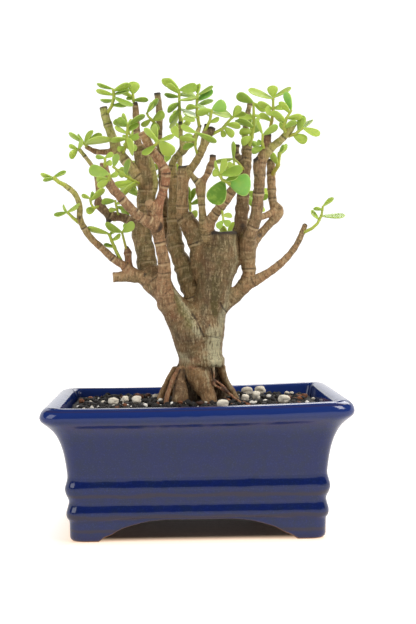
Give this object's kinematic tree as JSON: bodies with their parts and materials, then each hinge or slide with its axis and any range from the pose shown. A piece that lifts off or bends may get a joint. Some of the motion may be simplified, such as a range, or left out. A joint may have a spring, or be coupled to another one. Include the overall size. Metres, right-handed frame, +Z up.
{
  "type": "dwarf jade bonsai in a glazed pot",
  "caption": "Dwarf jade bonsai: thick forked trunk on bared roots, cut-back branches with small round leaves, in a blue glazed rectangular pot with soil and pumice.",
  "frame": {"origin": "centre of the whole plant and pot's box, on the surface that the pot's feet stand on", "axes": "+Z up the trunk; +X to the right along the pot's long side as seen from the front; -Y towards the viewer"},
  "size_m": [0.209, 0.1556, 0.3163],
  "materials": {
    "glaze": "gloss dark blue glaze over a grey-blue body",
    "soil": "coarse dark bonsai mix",
    "bark": "ringed tan bark with grey-green bloom",
    "leaf": "waxy succulent leaf",
    "pumice": "matt white pumice",
    "mesh": "black plastic mesh"
  },
  "bodies": {
    "root": {"back_shoot_left": "leaf", "back_shoot_left_side": "leaf", "back_shoot_low_in": "leaf", "back_shoot_low_left": "leaf", "back_shoot_low_out": "leaf", "back_shoot_low_right": "leaf", "back_shoot_middle": "leaf", "back_shoot_middle_side": "leaf", "back_shoot_right": "leaf", "back_shoot_right_side": "leaf", "drain_mesh_left": "mesh", "drain_mesh_right": "mesh", "pot": "glaze", "pumice_back": "pumice", "pumice_far_right": "pumice", "pumice_left_back": "pumice", "pumice_left_mid": "pumice", "pumice_left_near": "pumice", "pumice_right_back": "pumice", "pumice_right_front": "pumice", "pumice_right_mid": "pumice", "pumice_right_rim": "pumice", "shoot_arch": "leaf", "shoot_behind": "leaf", "shoot_brown_side": "leaf", "shoot_centre_right": "leaf", "shoot_crown": "leaf", "shoot_crown_right": "leaf", "shoot_fork_low": "leaf", "shoot_front_crown": "leaf", "shoot_front_inner": "leaf", "shoot_front_mid": "leaf", "shoot_front_top": "leaf", "shoot_hanging": "leaf", "shoot_left_low": "leaf", "shoot_left_tip": "leaf", "shoot_low_end": "leaf", "shoot_low_mid": "leaf", "shoot_olive_mid": "leaf", "shoot_olive_top": "leaf", "shoot_outer_top": "leaf", "shoot_post_crown": "leaf", "shoot_post_inner": "leaf", "shoot_post_side": "leaf", "shoot_reach_green": "leaf", "shoot_reach_tip": "leaf", "shoot_red_top": "leaf", "shoot_right_tip": "leaf", "shoot_stub_inner": "leaf", "shoot_stub_outer": "leaf", "shoot_tall_mid": "leaf", "shoot_two_leaves": "leaf", "shoot_up_tip": "leaf", "shoot_upright_top": "leaf", "soil": "soil", "trunk": "bark"}
  },
  "joints": []
}
